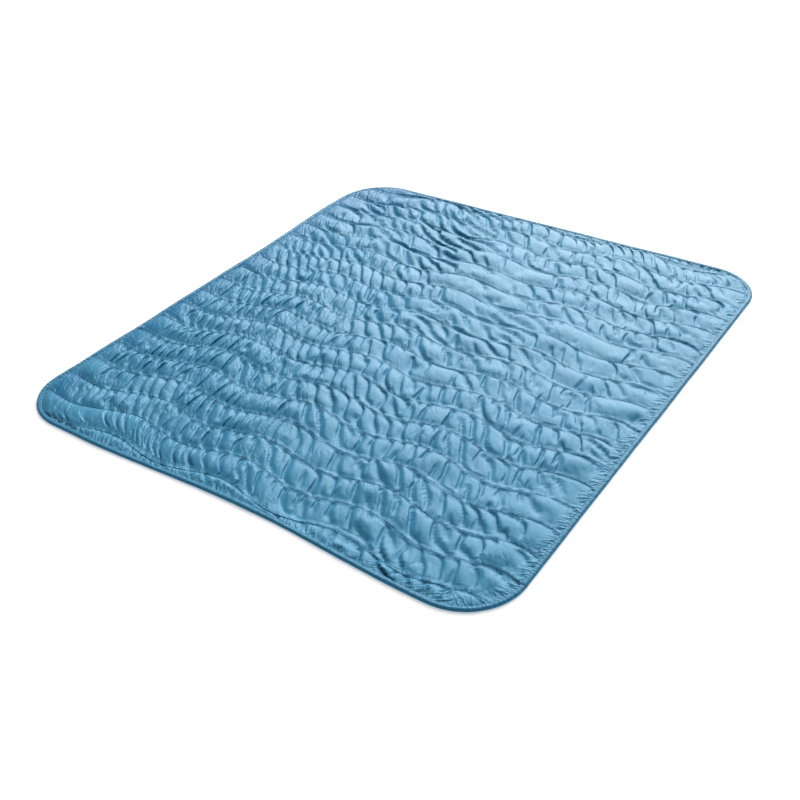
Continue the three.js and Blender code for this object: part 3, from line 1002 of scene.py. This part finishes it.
def satin_cloth(name, blues, relief=None):
    """Satin woven cloth: its dye, a fine weave, and what the relief adds to the colour and the height."""
    n = Nodes(name)
    cloth_uv = n.add("ShaderNodeUVMap", uv_map="cloth").outputs["UV"]
    colour = cloth_tone(n, cloth_uv, blues)
    height = n.math("MULTIPLY", n.noise(n.scaled(cloth_uv, WEAVE_SCALE)), WEAVE_HEIGHT)
    if relief is not None:
        colour, height = relief(n, cloth_uv, colour, height)
    bump = n.add("ShaderNodeBump", {"Height": height, "Strength": 1.0, "Distance": 1.0})
    shader = n.add("ShaderNodeBsdfPrincipled", {
        "Base Color": colour,
        "Roughness": ROUGHNESS,
        "Specular IOR Level": GLOSS,
        "Specular Tint": SHEEN_COLOUR,
        "Normal": bump.outputs[0],
    })
    return n.finish(shader.outputs[0])


def plain_floor():
    n = Nodes("floor_white")
    shader = n.add("ShaderNodeBsdfPrincipled", {
        "Base Color": FLOOR_COLOUR,
        "Roughness": FLOOR_ROUGHNESS,
        "Emission Color": FLOOR_GLOW_COLOUR,
        "Emission Strength": FLOOR_GLOW,
    })
    return n.finish(shader.outputs[0])


# The pieces

face = face_cloth()
face.data.materials.append(satin_cloth("face_satin", FACE_BLUES, quilted))
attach(face, "root")
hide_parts("quilt")

back = back_cloth()
back.data.materials.append(satin_cloth("back_satin", BACK_BLUES))
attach(back, "root")
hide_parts("quilt")

tape = binding()
tape.data.materials.append(satin_cloth("tape_weave", TAPE_BLUES, gathered_tape))
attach(tape, "root")
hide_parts("binding")


# The floor, the light and the camera

FLOOR_HALF = 12.0
KEY_PLACE = (-3.0, 9.5, 6.4)
KEY_SIZE = 10.9
KEY_POWER = 1920
SKY_COLOUR = (0.96, 0.97, 1.0, 1)
SKY_AT_HORIZON = 0.9
SKY_OVERHEAD = 0.08
SKY_DIM_FROM = 0.3


def add_floor():
    mesh = bpy.data.meshes.new("floor")
    sides = ((-1, -1), (1, -1), (1, 1), (-1, 1))
    mesh.from_pydata([(FLOOR_HALF * a, FLOOR_HALF * b, 0) for a, b in sides], [], [(0, 1, 2, 3)])
    floor = bpy.data.objects.new("floor", mesh)
    bpy.context.scene.collection.objects.link(floor)
    mesh.materials.append(plain_floor())


def add_key_light():
    """A broad soft disk beyond the far edge, turned to the blanket's middle."""
    data = bpy.data.lights.new("key", "AREA")
    data.shape = "DISK"
    data.size = KEY_SIZE
    data.energy = KEY_POWER
    lamp = bpy.data.objects.new("key", data)
    lamp.location = KEY_PLACE
    lamp.rotation_mode = "QUATERNION"
    lamp.rotation_quaternion = (-Vector(KEY_PLACE)).to_track_quat("-Z", "Y")
    bpy.context.scene.collection.objects.link(lamp)


def add_world():
    """A plain studio, pale at the horizon and dim overhead."""
    world = bpy.data.worlds.new("studio")
    world.use_nodes = True
    tree = world.node_tree
    background = tree.nodes["Background"]
    sky = tree.nodes.new("ShaderNodeTexCoord")
    upwards = tree.nodes.new("ShaderNodeSeparateXYZ")
    brightness = tree.nodes.new("ShaderNodeMapRange")
    limits = {"From Min": 0.0, "From Max": SKY_DIM_FROM, "To Min": SKY_AT_HORIZON, "To Max": SKY_OVERHEAD}
    for name, value in limits.items():
        brightness.inputs[name].default_value = value
    tree.links.new(sky.outputs["Generated"], upwards.inputs[0])
    tree.links.new(upwards.outputs["Z"], brightness.inputs["Value"])
    tree.links.new(brightness.outputs[0], background.inputs["Strength"])
    background.inputs["Color"].default_value = SKY_COLOUR
    bpy.context.scene.world = world


def add_camera():
    azimuth, elevation = math.radians(CAMERA_AZIMUTH), math.radians(CAMERA_ELEVATION)
    back_way = Vector((
        math.sin(azimuth) * math.cos(elevation),
        -math.cos(azimuth) * math.cos(elevation),
        math.sin(elevation),
    ))
    data = bpy.data.cameras.new("camera")
    data.sensor_width = SENSOR_MM
    data.lens = FOCAL_LENGTH_PX / IMAGE_SIZE_PX * SENSOR_MM
    camera = bpy.data.objects.new("camera", data)
    aim = Vector((CAMERA_AIM[0] - ORIGIN_X, CAMERA_AIM[1] - ORIGIN_Y, 0))
    camera.location = aim + back_way * CAMERA_DISTANCE
    right = Vector((0, 0, 1)).cross(back_way).normalized()
    up = back_way.cross(right)
    roll = math.radians(CAMERA_ROLL)
    axis_x = math.cos(roll) * right + math.sin(roll) * up
    axis_y = -math.sin(roll) * right + math.cos(roll) * up
    camera.rotation_mode = "QUATERNION"
    camera.rotation_quaternion = Matrix((axis_x, axis_y, back_way)).transposed().to_quaternion()
    bpy.context.scene.collection.objects.link(camera)
    bpy.context.scene.camera = camera


add_floor()
add_camera()
add_key_light()
add_world()
bpy.context.scene.view_settings.view_transform = "Standard"
